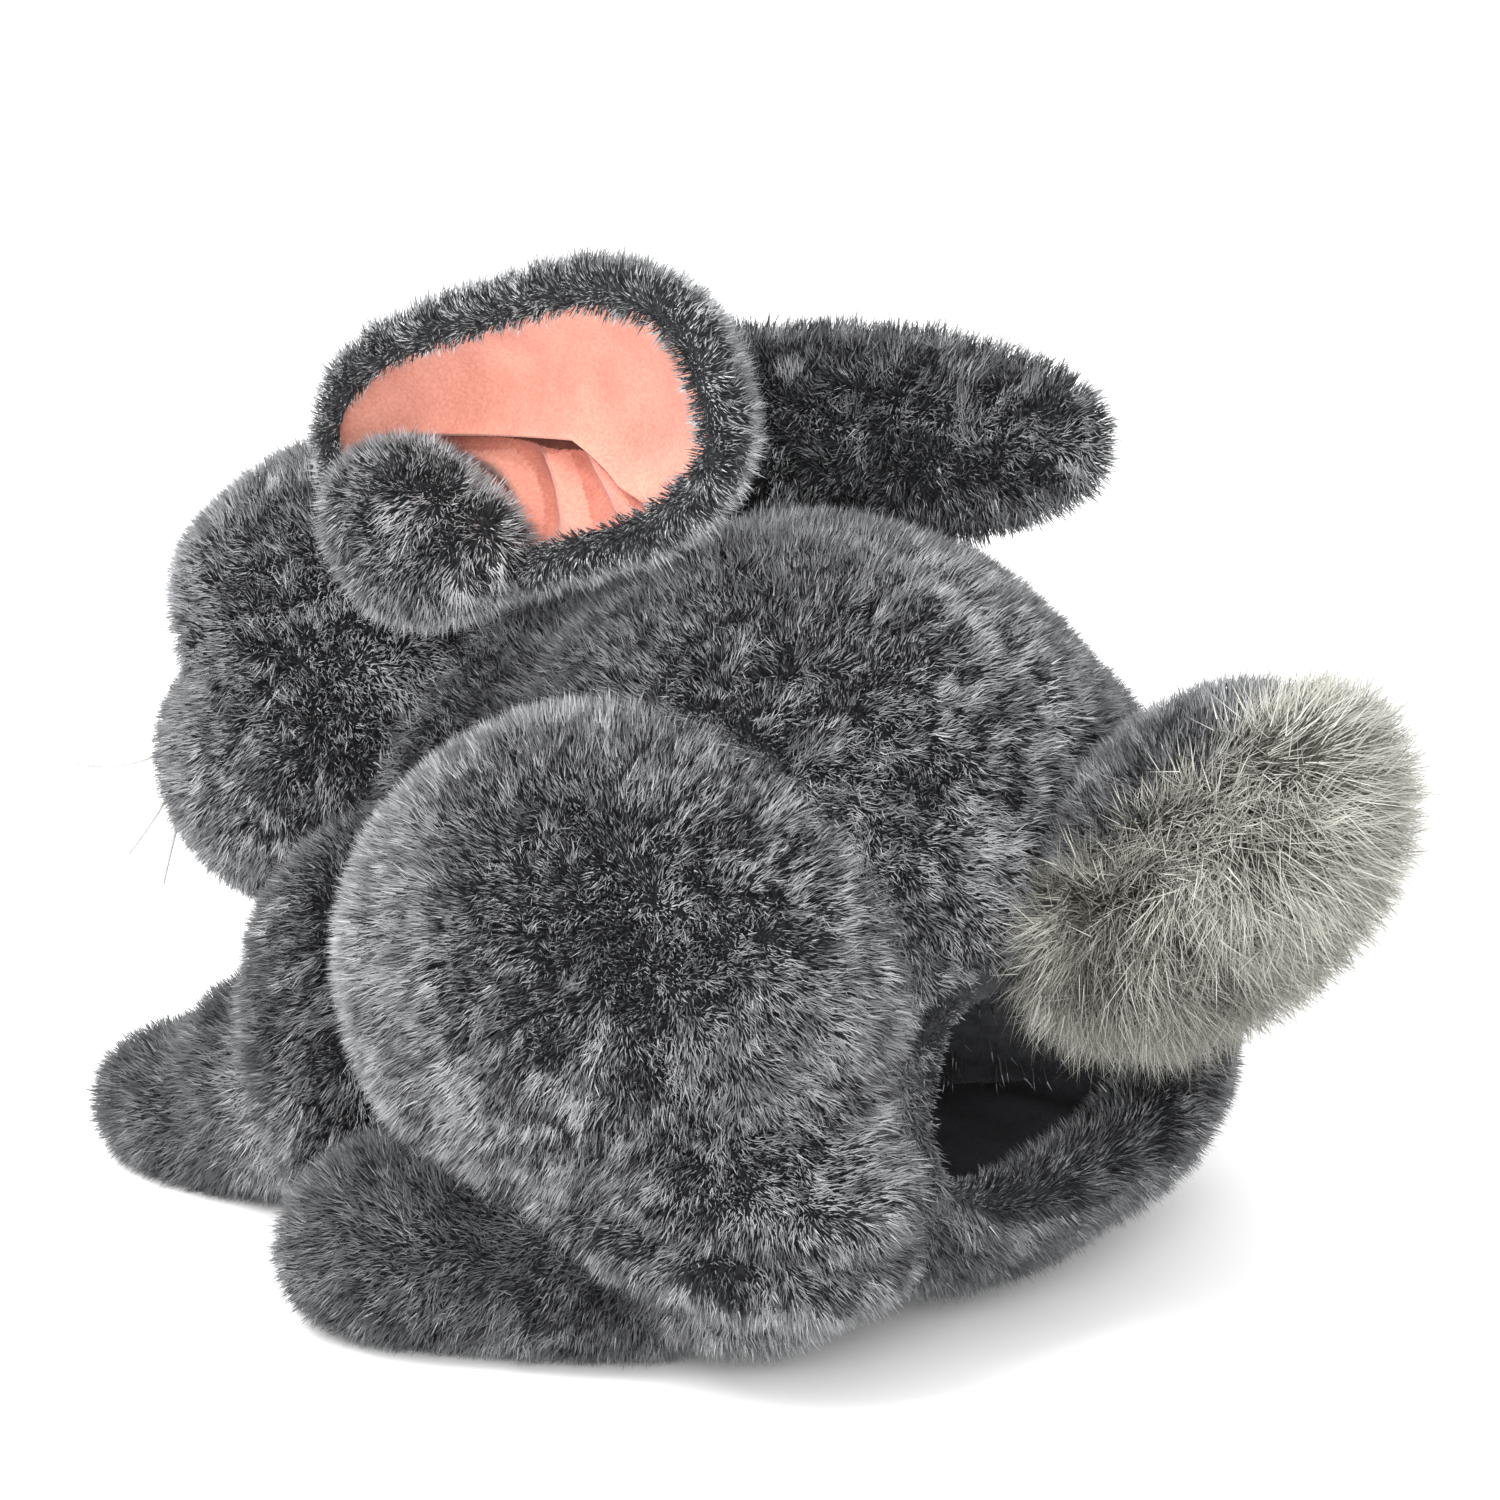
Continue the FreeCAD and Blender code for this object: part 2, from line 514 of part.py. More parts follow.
TAIL_LIFTS = (-20, 0, 25)  # degrees, the ends and the rest of the tail's swing
tail_rooms = [torso_as_seen_from_tail(f"tail_clear_{k}", lift) for k, lift in enumerate(TAIL_LIFTS)]
tail_rooms.append(block("hem_room", (-FAR, -FAR, -FAR), (FAR, size("hem_room_y"), size("hem_room_z"))))
node(cut("tail_top", common("tail_top_half", tail_over, tail_above), tail_core, *tail_rooms),
     "tail_top_fur")
node(cut("tail_below", tail_under, tail_above, tail_core, *tail_rooms), "tail_under_fur")
node(cut("tail_filling", tail_core, *tail_rooms), "tail_stuffing")


# Check every object, then write every sub-part -----------------------------------------

doc.recompute()
for item in doc.Objects:
    if "Invalid" in item.State or "Error" in item.State:
        raise RuntimeError(f"{item.Name} ({item.Label}) failed: {item.State}")
os.makedirs("parts", exist_ok=True)
for piece in nodes:
    shape = piece.Shape
    if shape.isNull() or not shape.isValid() or not shape.Solids:
        raise RuntimeError(f"{piece.Label} has no valid solid")
for piece in nodes:
    piece.Shape.exportStep(f"parts/{piece.Label}.step")
    print(f"{piece.Label:24s} {len(piece.Shape.Solids)} solid(s) {piece.Shape.Volume / 1000:9.2f} cm3")
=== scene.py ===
import math

import bmesh
import bpy
import numpy as np
from mathutils import Matrix, Vector


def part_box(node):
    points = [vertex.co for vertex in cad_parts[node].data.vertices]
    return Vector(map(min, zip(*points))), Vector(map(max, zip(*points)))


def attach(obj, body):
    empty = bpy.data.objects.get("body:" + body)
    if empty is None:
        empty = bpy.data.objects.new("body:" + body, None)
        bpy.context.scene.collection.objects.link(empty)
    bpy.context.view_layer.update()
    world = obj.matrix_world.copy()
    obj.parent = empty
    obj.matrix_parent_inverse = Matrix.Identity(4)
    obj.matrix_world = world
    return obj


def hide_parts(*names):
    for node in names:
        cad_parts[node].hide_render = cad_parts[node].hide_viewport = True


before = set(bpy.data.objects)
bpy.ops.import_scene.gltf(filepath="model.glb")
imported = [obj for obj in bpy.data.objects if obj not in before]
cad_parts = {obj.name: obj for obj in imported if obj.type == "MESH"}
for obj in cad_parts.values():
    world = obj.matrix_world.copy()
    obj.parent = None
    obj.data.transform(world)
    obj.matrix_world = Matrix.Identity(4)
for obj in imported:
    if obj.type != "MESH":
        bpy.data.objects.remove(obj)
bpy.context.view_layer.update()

# A plush rabbit hand puppet, crouching. It faces -Y, +X is its left side, +Z is up.
# Lengths in this script are in millimetres, and meshes are written in metres.
MM = 0.001
SIDES = (("left", 1), ("right", -1))


def centre_of(node):
    low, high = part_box(node)
    return (np.array(low) + np.array(high)) / 2 / MM


# Everything is placed from the middle of the two hind feet.
HOME = np.array([0.0, centre_of("hind_foot_fur_left")[1] - 4.0, 0.0])


# ---------------------------------------------------------------- small vector tools

def unit(v):
    return v / np.maximum(np.linalg.norm(v, axis=-1, keepdims=True), 1e-12)


def smooth_step(low, high, x):
    t = np.clip((x - low) / (high - low), 0.0, 1.0)
    return t * t * (3 - 2 * t)


def grain(points, lump, seed):
    """Smooth noise from -1 to 1, with lumps of about the given size."""
    q = points / lump + seed * 31.7
    cell = np.floor(q).astype(np.int64)
    f = q - cell
    f = f * f * (3 - 2 * f)
    total = np.zeros(len(points))
    for corner in range(8):
        step = np.array([corner & 1, corner >> 1 & 1, corner >> 2 & 1])
        c = cell + step
        mixed = c[:, 0] * 73856093 ^ c[:, 1] * 19349663 ^ c[:, 2] * 83492791 ^ seed * 2654435
        mixed = (mixed ^ (mixed >> 13)) * 1274126177
        value = ((mixed ^ (mixed >> 16)) & 0xFFFF) / 32767.5 - 1
        total += value * np.prod(np.where(step, f, 1 - f), axis=1)
    return total


def turn(axis, degrees):
    return np.array(Matrix.Rotation(math.radians(degrees), 3, axis))


# ---------------------------------------------------------------- forms

class Blob:
    """A soft form: ellipsoids (centre, half sizes, turn) melted into each other."""

    def __init__(self, melt, *eggs):
        self.melt = melt
        self.eggs = [(np.array(e[0], float), np.array(e[1], float),
                      e[2] if len(e) > 2 else np.eye(3)) for e in eggs]

    def depth(self, points):
        """About how far each point is outside the form."""
        result = None
        for middle, half, spin in self.eggs:
            q = (points - middle) @ spin
            k0 = np.linalg.norm(q / half, axis=1)
            k1 = np.linalg.norm(q / half ** 2, axis=1)
            away = k0 * (k0 - 1) / np.maximum(k1, 1e-9)
            if result is None:
                result = away
            else:
                h = np.clip(0.5 + 0.5 * (result - away) / self.melt, 0, 1)
                result = result * (1 - h) + away * h - self.melt * h * (1 - h)
        return result


PILE_BASE = 2.2        # the matted foot of the pile stands this far outside the backing
SKIN_FLOOR = 1.2       # the lowest that a skin lies, on pile pressed flat
RAY_LENGTH = 170.0     # longer than any form's reach from its centre
RAY_HALVINGS = 18      # enough to place a skin within a thousandth of a millimetre
SPHERES = {}


def sphere(detail):
    """The directions and triangles of an icosphere."""
    if detail not in SPHERES:
        bm = bmesh.new()
        bmesh.ops.create_icosphere(bm, subdivisions=detail, radius=1.0)
        points = np.array([v.co[:] for v in bm.verts])
        faces = np.array([[v.index for v in f.verts] for f in bm.faces])
        bm.free()
        SPHERES[detail] = (points, faces)
    return SPHERES[detail]


def face_normals(points, faces):
    a, b, c = (points[faces[:, k]] for k in range(3))
    return np.cross(b - a, c - a)


def normals(points, faces):
    n = face_normals(points, faces)
    total = np.zeros_like(points)
    for k in range(3):
        for axis in range(3):
            total[:, axis] += np.bincount(faces[:, k], n[:, axis], len(points))
    return unit(total)


def skin(blob, centre, detail, relief):
    """A closed skin round a blob: rays from the centre, each ending where it leaves it.

    relief is how much further out the skin stands at each place.
    """
    rays, faces = sphere(detail)
    centre = np.array(centre, float)
    low, high = np.zeros(len(rays)), np.full(len(rays), RAY_LENGTH)
    for _ in range(RAY_HALVINGS):
        middle = (low + high) / 2
        inside = blob.depth(centre + rays * middle[:, None]) < 0
        low, high = np.where(inside, middle, low), np.where(inside, high, middle)
    points = centre + rays * low[:, None]
    points = points + normals(points, faces) * (PILE_BASE + relief(points)[:, None])
    points[:, 2] = np.maximum(points[:, 2], SKIN_FLOOR)
    return points, faces


# ---------------------------------------------------------------- meshes

def new_mesh(name, points, loops, starts, materials, indices=None):
    mesh = bpy.data.meshes.new(name)
    mesh.vertices.add(len(points))
    mesh.vertices.foreach_set("co", ((points + HOME) * MM).astype(np.float32).ravel())
    mesh.loops.add(len(loops))
    mesh.loops.foreach_set("vertex_index", np.asarray(loops, np.int32))
    mesh.polygons.add(len(starts))
    mesh.polygons.foreach_set("loop_start", np.asarray(starts, np.int32))
    if indices is not None:
        mesh.polygons.foreach_set("material_index", np.asarray(indices, np.int32))
    mesh.polygons.foreach_set("use_smooth", np.full(len(starts), True))
    for material in materials:
        mesh.materials.append(material)
    mesh.update(calc_edges=True)
    piece = bpy.data.objects.new(name, mesh)
    bpy.context.scene.collection.objects.link(piece)
    return piece


def surface(name, points, faces, *materials, indices=None):
    starts = np.arange(len(faces)) * faces.shape[1]
    return new_mesh(name, points, faces.ravel(), starts, materials, indices)


# ---------------------------------------------------------------- materials

def linear(level):
    level = level / 255
    return level / 12.92 if level <= 0.04045 else ((level + 0.055) / 1.055) ** 2.4


def colour(*levels):
    return tuple(linear(v) for v in levels) + (1.0,)


def material(name, roughness=0.8, specular=0.25, sheen=0.0):
    made = bpy.data.materials.new(name)
    made.use_nodes = True
    shader = made.node_tree.nodes["Principled BSDF"]
    shader.inputs["Roughness"].default_value = roughness
    shader.inputs["Specular IOR Level"].default_value = specular
    shader.inputs["Sheen Weight"].default_value = sheen
    return made, shader


def plain(name, rgb, **finish):
    made, shader = material(name, **finish)
    shader.inputs["Base Color"].default_value = colour(*rgb)
    return made


def cloth(name, dark, light, lump, bump=0.4, fine=None, **finish):
    """A woven or napped cloth: two mixed tones, lumps, and a fine bump."""
    made, shader = material(name, **finish)
    nodes, links = made.node_tree.nodes, made.node_tree.links
    place = nodes.new("ShaderNodeTexCoord").outputs["Object"]
    broad, close = nodes.new("ShaderNodeTexNoise"), nodes.new("ShaderNodeTexNoise")
    broad.inputs["Scale"].default_value = 1 / (lump * MM)
    broad.inputs["Detail"].default_value = 6
    close.inputs["Scale"].default_value = 1 / ((fine or lump / 8) * MM)
    close.inputs["Detail"].default_value = 3
    for noise in (broad, close):
        links.new(place, noise.inputs["Vector"])
    ramp = nodes.new("ShaderNodeValToRGB")
    ramp.color_ramp.elements[0].position, ramp.color_ramp.elements[1].position = 0.3, 0.7
    ramp.color_ramp.elements[0].color = colour(*dark)
    ramp.color_ramp.elements[1].color = colour(*light)
    both = nodes.new("ShaderNodeMath")
    both.operation = "MULTIPLY_ADD"
    both.inputs[1].default_value = 0.5
    half = nodes.new("ShaderNodeMath")
    half.operation = "MULTIPLY"
    half.inputs[1].default_value = 0.5
    links.new(close.outputs["Fac"], both.inputs[0])
    links.new(broad.outputs["Fac"], half.inputs[0])
    links.new(half.outputs[0], both.inputs[2])
    links.new(both.outputs[0], ramp.inputs["Fac"])
    links.new(ramp.outputs["Color"], shader.inputs["Base Color"])
    relief = nodes.new("ShaderNodeBump")
    relief.inputs["Strength"].default_value = bump
    relief.inputs["Distance"].default_value = 0.0006
    links.new(close.outputs["Fac"], relief.inputs["Height"])
    links.new(relief.outputs["Normal"], shader.inputs["Normal"])
    return made


backing = cloth("plush_backing", (30, 31, 33), (62, 63, 66), 3.0, roughness=0.95)
lining = cloth("black_lining_cloth", (30, 29, 32), (52, 51, 55), 6.0, fine=0.7, roughness=0.85)

# Pile: two tones for the roots, and tips from dark to pale.
GREY_LEVELS = (58, 70, 90, 108, 126, 144, 164, 186)
GREY_PILE = [plain(f"grey_pile_{k}", (v - 1, v, v + 2), roughness=0.7, specular=0.3)
             for k, v in enumerate(GREY_LEVELS)]
PALE_LEVELS = (84, 102, 122, 142, 160, 178, 194, 210)
PALE_PILE = [plain(f"pale_pile_{k}", (v, v - 1, v - 9), roughness=0.65, specular=0.3)
             for k, v in enumerate(PALE_LEVELS)]
ROOT_TONES = 2
PIECE_STRANDS = 62000  # most strands in one piece
BEND = 0.58            # where a strand bends and its pale tip begins
TUFT = 3.2             # width of a tuft of strands that lean together
LOCK = 4.0             # width of a lock of strands that turn the same way
MOTTLE = 2.2           # width of a patch of one tone
STEEPEST, FLATTEST = -20, 84   # slants that a strand keeps within, in degrees
PILE_FLOOR = 0.3       # the lowest that a strand reaches


# ---------------------------------------------------------------- pile

def at_places(setting, places):
    """What a setting of the pile is at each place: it is one value or a function."""
    if callable(setting):
        return setting(places)
    value = np.array(setting, float)
    return np.tile(value, (len(places),) + (1,) * value.ndim)


def pile(name, points, faces, body, seed, comb, per_cm2=400, length=6.8, lean=(6, 24),
         wild=0.22, width=0.32, tones=GREY_PILE, tone=0.5, keep=None):
    """Grows pile on a surface and rides it on a body. Each strand is a flat bent blade.

    comb, length, tone and keep may be functions of the places: the way the pile lies, its
    length, its paleness from 0 to 1, and the share of it that grows there. lean has the
    slants from upright of a strand's lower and upper part, in degrees, and wild is how much
    the strands differ from each other.
    """
    rng = np.random.default_rng(seed)
    middles = points[faces].mean(axis=1)
    areas = np.linalg.norm(face_normals(points, faces), axis=1) / 2
    share = areas if keep is None else areas * keep(middles)
    count = int(share.sum() / 100 * per_cm2)
    picked = rng.choice(len(faces), count, p=share / share.sum())
    a, b = rng.random(count), rng.random(count)
    flip = a + b > 1
    a, b = np.where(flip, 1 - a, a), np.where(flip, 1 - b, b)
    weights = np.stack([1 - a - b, a, b], axis=1)[:, :, None]
    corners = faces[picked]
    roots = (points[corners] * weights).sum(axis=1)
    out = unit((normals(points, faces)[corners] * weights).sum(axis=1))

    way = at_places(comb, roots)
    way = unit(way - out * (way * out).sum(axis=1, keepdims=True) + 1e-6)
    across = np.cross(out, way)
    swirl = (0.35 * grain(roots, 18, seed + 1) + 1.9 * grain(roots, LOCK, seed + 2)
             + 2 * wild * rng.standard_normal(count))
    way = way * np.cos(swirl)[:, None] + across * np.sin(swirl)[:, None]
    across = np.cross(out, way)

    tufts = 0.7 * grain(roots, TUFT, seed + 3) + 0.3 * grain(roots, 8, seed + 4)
    lift = 28 * tufts + 40 * wild * rng.standard_normal(count)
    long = at_places(length, roots)
    long = long * (1 + 0.12 * tufts + 0.14 * rng.standard_normal(count)).clip(0.5, 1.4)

    def aim(degrees):
        angle = np.radians(np.clip(degrees + lift, STEEPEST, FLATTEST))[:, None]
        return out * np.cos(angle) + way * np.sin(angle)

    first, second = aim(lean[0]), aim(lean[1])
    bends = roots + first * (long * BEND)[:, None]
    tips = bends + second * (long * (1 - BEND))[:, None]
    for ends in (bends, tips):
        ends[:, 2] = np.maximum(ends[:, 2], PILE_FLOOR)
    blade = unit(across + out * (0.5 * rng.standard_normal(count))[:, None]
                 + way * (0.35 * rng.standard_normal(count))[:, None])
    wide = width * (1 + 0.2 * rng.standard_normal(count)).clip(0.5, 1.6)
    side = blade * (wide / 2)[:, None]

    pale = at_places(tone, roots)
    mottle = (0.40 * grain(roots, MOTTLE, seed + 5) + 0.16 * grain(roots, 6, seed + 6)
              + 0.08 * grain(roots, 20, seed + 7) + 0.18 * rng.standard_normal(count))
    steps = len(tones) - ROOT_TONES
    tip_tone = np.clip(np.floor((pale + mottle) * steps), 0, steps - 1).astype(int) + ROOT_TONES
    root_tone = np.where(rng.random(count) < 0.5, 0, 1)
    root_tone = np.where(tip_tone > len(tones) - 3, 1, root_tone)

    strands = np.stack([roots - side, roots + side, bends - side * 0.9, bends + side * 0.9,
                        tips], axis=1)
    chunks = max(1, math.ceil(count / PIECE_STRANDS))
    order = np.argsort(roots[:, 1], kind="stable")
    for k, chosen in enumerate(np.array_split(order, chunks)):
        n = len(chosen)
        base = np.arange(n)[:, None] * 5
        loops = (base + np.array([[0, 1, 3, 2, 2, 3, 4]])).ravel()
        starts = (np.arange(n)[:, None] * 7 + np.array([[0, 4]])).ravel()
        indices = np.stack([root_tone[chosen], tip_tone[chosen]], axis=1).ravel()
        piece = new_mesh(name if chunks == 1 else f"{name}_{k + 1}",
                         strands[chosen].reshape(-1, 3), loops, starts, tones, indices)
        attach(piece, body)


# ---------------------------------------------------------------- torso

MOUTH = np.array([0.0, 100.0, 57.0])
MOUTH_HALF = (46.0, 27.0)
MOUTH_POWER = 2.8      # 2 is an ellipse, more is squarer
MOUTH_START = 55       # the opening is cut only behind this

torso_blob = Blob(
    16,
    ((0, 24, 85.5), (65, 69, 74)),     # rump and back
    ((0, -48, 43), (58, 42, 45)),      # chest
    ((0, -40, 92), (44, 40, 42)),      # withers
    ((0, 58, 48), (56, 40, 38)),       # round the hand opening
    *(((s * 41, -64, 46), (23, 27, 41)) for _, s in SIDES),    # shoulders
)


def torso_relief(p):
    """A seam down the spine and soft hollows in the filling."""
    seam = -1.6 * np.exp(-(p[:, 0] / 2.2) ** 2) * smooth_step(100, 120, p[:, 2])
    return seam + 0.9 * grain(p, 34, 3) + 0.5 * grain(p, 15, 4)


def in_mouth(p, grow=0):
    """Whether a place is within the oval of the hand opening, grown by a margin."""
    x = np.abs(p[:, 0]) / (MOUTH_HALF[0] + grow)
    z = np.abs(p[:, 2] - MOUTH[2]) / (MOUTH_HALF[1] + grow)
    return (x ** MOUTH_POWER + z ** MOUTH_POWER < 1.0) & (p[:, 1] > MOUTH_START)


def thinned(share, least=0.02):
    """A share of the pile that never falls to nothing, for where two forms meet."""
    return least + (1 - least) * share


def build_torso():
    points, faces = skin(torso_blob, (0, 18, 62), 7, torso_relief)
    faces = faces[~in_mouth(points[faces].mean(axis=1))]
    piece = surface("torso_skin", points, faces, backing)
    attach(piece, "torso")
    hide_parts("body_fur_left", "body_fur_right", "belly_panel", "body_stuffing")
    legs = [thigh_blob(s) for _, s in SIDES]

    def grows(p):
        buried = np.minimum(*(blob.depth(p) for blob in legs))
        hidden = smooth_step(-9, -3, np.minimum(buried, head_blob.depth(p)))
        under = np.where(p[:, 2] < 6, 0.25, 1)
        over_mouth = in_mouth(p, 7) & (p[:, 2] > MOUTH[2] + 15)
        return thinned(hidden) * under * ~over_mouth

    def paleness(p):
        seam = 0.16 * np.exp(-((np.abs(p[:, 0]) - 3) / 3) ** 2) * (p[:, 2] > 100)
        round_mouth = smooth_step(60, 85, p[:, 1]) * smooth_step(80, 50, p[:, 2])
        # Paler towards the top of the back: painted light from above.
        return 0.50 + seam + 0.10 * smooth_step(80, 160, p[:, 2]) - 0.26 * round_mouth

    def comb(p):
        return np.stack([0.35 * p[:, 0] / 70, np.full(len(p), 0.8),
                         np.full(len(p), -0.5)], axis=1)

    pile("torso_pile", points, faces, "torso", 11, comb=comb, keep=grows, tone=paleness)


# ---------------------------------------------------------------- thighs

def thigh_blob(s):
    drop = 0 if s > 0 else 5   # the far thigh has slumped a little
    return Blob(
        14,
        ((s * 58, 16, 82 - drop), (37, 57, 49)),
        ((s * 62, 8, 74 - drop), (33, 51, 44)),
        ((s * 46, 33, 76 - drop), (38, 35, 41)),
        ((s * 64, 48, 40), (26, 35, 27)),      # hock
    )


def fan_from(place, drop):
    """Pile that fans out from a place, and hangs a little."""
    def comb(p):
        return unit(p - np.array(place, float)) + np.array([0, 0, drop])
    return comb


def build_thigh(side, s):
    def folds(p):
        """Wrinkles where the leg turns on the floor, and soft hollows above."""
        low = 1 - smooth_step(34, 52, p[:, 2])
        rings = np.sin((p[:, 2] * 0.55 + p[:, 1] * 0.10 + 2 * grain(p, 24, 8)) * 0.62)
        return low * 1.8 * rings + 1.0 * grain(p, 30, 5) + 0.5 * grain(p, 13, 6)

    points, faces = skin(thigh_blob(s), (s * 57, 30, 68), 6, folds)
    piece = surface(f"thigh_skin_{side}", points, faces, backing)
    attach(piece, "torso")
    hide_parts(f"thigh_fur_{side}", f"thigh_stuffing_{side}")

    def grows(p):
        buried = np.minimum(torso_blob.depth(p), foot_blob(s).depth(p))
        return thinned(smooth_step(-9, -3, buried)) * np.where(p[:, 2] < 5, 0.25, 1)

    def paleness(p):
        ridge = np.exp(-(torso_blob.depth(p) / 7) ** 2) * smooth_step(60, 100, p[:, 2])
        shaded = 0.14 * smooth_step(50, 30, p[:, 2]) * smooth_step(20, 50, p[:, 1])
        # top is painted light: the pile is paler towards the top of the thigh.
        top = 0.06 * smooth_step(60, 130, p[:, 2])
        return 0.54 + 0.20 * ridge * (p[:, 1] < 10) + top - shaded

    pile(f"thigh_pile_{side}", points, faces, "torso", 21 + (s > 0), keep=grows, tone=paleness,
         comb=lambda p: 0.7 * unit(p - (s * 96, 0, 88)) + (0, 0.35, -0.6), lean=(4, 20))


# ---------------------------------------------------------------- hind feet

def foot_blob(s):
    splay = turn("Z", s * 20)
    return Blob(
        10,
        ((s * 77, 3, 18), (18.5, 46, 19), splay),
        ((s * 86, -23, 16), (18, 20, 17), splay),      # toes
    )


def build_foot(side, s):
    points, faces = skin(foot_blob(s), (s * 80, 4, 16), 5, lambda p: 0.8 * grain(p, 18, 9))
    piece = surface(f"hind_foot_skin_{side}", points, faces, backing)
    body = f"hind_foot_{side}"
    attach(piece, body)
    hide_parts(f"hind_foot_fur_{side}", f"hind_foot_stuffing_{side}")

    def grows(p):
        hidden = smooth_step(-10, -4, thigh_blob(s).depth(p))
        return thinned(hidden) * np.where(p[:, 2] < 3, 0.3, 1)

    # The foot's pile is given a dark tone as painted shade on the low foot.
    pile(f"hind_foot_pile_{side}", points, faces, body, 31 + (s > 0), keep=grows,
         comb=fan_from((s * 80, 40, 30), -0.1), lean=(4, 22), wild=0.3, tone=0.12,
         length=lambda p: 3.5 + 3.3 * smooth_step(0, 12, p[:, 2]))


# ---------------------------------------------------------------- head

head_blob = Blob(
    10,
    ((0, -89.5, 114.3), (45, 43, 49)),     # skull
    ((0, -112, 91.5), (31, 26, 24.5)),     # muzzle
    *(((s * 18, -101, 94.5), (24, 27, 25)) for _, s in SIDES),     # cheeks
    *(((s * 18, -103, 134), (19, 21, 17)) for _, s in SIDES),      # brows
)
EYE_AT = [centre_of(f"eye_{side}") - HOME for side, _ in SIDES]


def head_relief(p):
    """Sockets round the eyes, a brow above them and a cleft under the nose."""
    depth = 0.7 * grain(p, 22, 12)
    for eye in EYE_AT:
        away = np.linalg.norm(p - eye, axis=1)
        depth -= 2.4 * np.exp(-(away / 9) ** 2)
        depth += 1.6 * np.exp(-((away - 17) / 6) ** 2) * (p[:, 2] > eye[2])
    front = smooth_step(-122, -136, p[:, 1])
    depth -= 2.0 * front * np.exp(-(p[:, 0] / 2.5) ** 2) * (p[:, 2] < 99)
    return depth


def build_head():
    points, faces = skin(head_blob, (0, -92, 106), 6, head_relief)
    piece = surface("head_skin", points, faces, backing)
    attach(piece, "head")
    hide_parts("head_fur_left", "head_fur_right", "head_stuffing")
    nose = centre_of("nose") - HOME

    def grows(p):
        hidden = thinned(smooth_step(-12, -5, torso_blob.depth(p)), 0.05)
        for eye in EYE_AT:
            hidden = hidden * smooth_step(6.5, 8.5, np.linalg.norm(p - eye, axis=1))
        return hidden * smooth_step(4, 6, np.linalg.norm(p - nose, axis=1))

    def long(p):
        near = np.minimum(*(np.linalg.norm(p - eye, axis=1) for eye in EYE_AT))
        near = np.minimum(near, np.linalg.norm(p - nose, axis=1) + 2)
        return 3.5 + 3.5 * smooth_step(7, 20, near)

    comb = fan_from((0, -150, 104), -0.15)
    # The head's pile is paler towards its crown: painted light from above.
    pile("head_pile", points, faces, "head", 41, keep=grows, comb=comb, length=long,
         tone=lambda p: 0.66 + 0.08 * smooth_step(90, 150, p[:, 2]))


# ---------------------------------------------------------------- forelegs

def arm_blob(s):
    return Blob(
        9,
        ((s * 36, -78, 28), (20, 20, 21)),     # elbow
        ((s * 37, -112, 13), (16, 29, 13)),    # paw
        ((s * 36, -95, 26), (18, 20, 17)),
    )


def build_arm(side, s):
    points, faces = skin(arm_blob(s), (s * 36, -94, 20), 5, lambda p: 0.7 * grain(p, 16, 14))
    piece = surface(f"foreleg_skin_{side}", points, faces, backing)
    body = f"foreleg_{side}"
    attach(piece, body)
    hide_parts(f"foreleg_fur_{side}", f"foreleg_stuffing_{side}")

    def grows(p):
        hidden = smooth_step(-10, -4, torso_blob.depth(p))
        return thinned(hidden, 0.03) * np.where(p[:, 2] < 3, 0.3, 1)

    # The pile darkens towards the front of the paw: painted shade.
    pile(f"foreleg_pile_{side}", points, faces, body, 51 + (s > 0), keep=grows,
         comb=fan_from((s * 36, -70, 40), -0.1), lean=(4, 24), wild=0.3,
         tone=lambda p: 0.14 + 0.56 * smooth_step(-104, -82, p[:, 1]))


# ---------------------------------------------------------------- ears

# Each ear is a leaf from root to tip. square is 2 for an ellipse and more for squarer ends,
# and facing is the way that its hollow looks.
# tone is the pile's paleness; the far right ear's lower tone is painted shade.
EARS = {
    "left": {"root": (30, -82, 165), "tip": (49, 31, 211), "facing": (1, 0, 0),
             "half_length": 63, "half_width": 29.5, "depth": 20, "square": 3.3,
             "pleated": True, "tone": 0.60},
    "right": {"root": (-30, -75, 164), "tip": (-46, 69, 182), "facing": (-1, 0, -0.3),
              "half_length": 70, "half_width": 22, "depth": 16, "square": 2.2,
              "pleated": False, "tone": 0.42},
}
EAR_RIM = 2.9          # radius of the rolled rim
EAR_ROUND = 320        # steps round the leaf
PINK = cloth("pink_velour_cloth", (190, 116, 101), (222, 158, 138), 14.0, bump=0.25, fine=0.8,
             roughness=0.75, sheen=0.35)
# Darker copies of the velour for painted shade: one for the pleat valleys and under the fold, and
# a darker one for the painted shadow where the fold overhangs.
PINK_PAINTED_SHADOW = cloth("pink_velour_painted_shadow", (76, 40, 34), (112, 66, 56), 9.0, bump=0.3, fine=0.8,
                 roughness=0.85)
PINK_PAINTED_SHADE = cloth("pink_velour_painted_shade", (166, 92, 79), (206, 136, 117), 9.0, bump=0.3, fine=0.8,
                  roughness=0.8, sheen=0.2)


